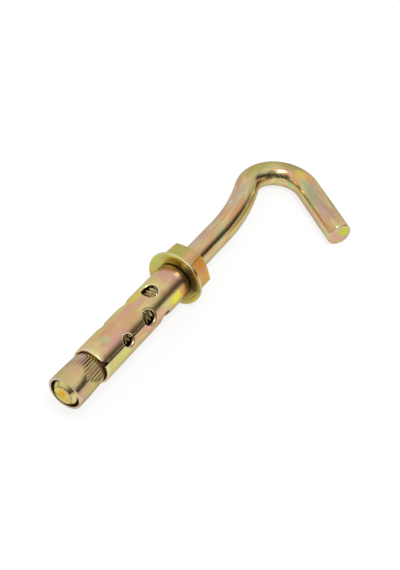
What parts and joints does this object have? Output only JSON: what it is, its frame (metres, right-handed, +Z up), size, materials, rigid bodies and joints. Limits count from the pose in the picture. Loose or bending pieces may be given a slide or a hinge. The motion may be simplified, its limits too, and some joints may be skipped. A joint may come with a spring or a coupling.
{
  "type": "hook anchor bolt",
  "caption": "Hook on a threaded shank with a flange nut, a slit and drilled sleeve, and a knurled cone nut that spreads the sleeve in its hole.",
  "frame": {"origin": "middle of the flange nut's bearing face, on the bolt's axis", "axes": "+Z up as the anchor lies at rest; +X level, along the bolt's axis from the cone nut towards the hook, which slopes down 4.133 degrees that way; +Y towards the side that the rod first bends to"},
  "size_m": [0.1057, 0.0365, 0.0159],
  "materials": {
    "bolt_zinc": "yellow-passivated zinc plating, satin to glossy, iridescent",
    "nut_zinc": "yellow-passivated zinc plating, glossy, olive to gold",
    "sleeve_zinc": "yellow-passivated zinc plating on rolled sheet, straw to rose",
    "cone_zinc": "yellow-passivated zinc plating, pale, straight-knurled"
  },
  "bodies": {
    "hook_bolt": {"hook_bolt": "bolt_zinc"},
    "sleeve": {"sleeve": "sleeve_zinc"},
    "flange_nut": {"flange_nut": "nut_zinc"},
    "cone_nut": {"cone_nut": "cone_zinc"}
  },
  "joints": [
    {"name": "sleeve_travel", "type": "slide", "parent": "hook_bolt", "child": "sleeve", "axis": [-0.9974, 0, 0.0721], "range_m": [0, 0.00875]},
    {"name": "flange_nut_turn", "type": "hinge", "parent": "sleeve", "child": "flange_nut", "pos_m": [0, 0, 0], "axis": [-0.9974, 0, 0.0721], "range_deg": [0, 2520]},
    {"name": "cone_nut_turn", "type": "hinge", "parent": "sleeve", "child": "cone_nut", "pos_m": [-0.0399, 0, 0.00288], "axis": [-0.9974, 0, 0.0721], "range_deg": [0, 2520]}
  ],
  "couplings": [
    {"joint": "sleeve_travel", "follows": "flange_nut_turn", "m_per_rad": 0.00019894},
    {"joint": "cone_nut_turn", "follows": "flange_nut_turn", "ratio": 1}
  ]
}
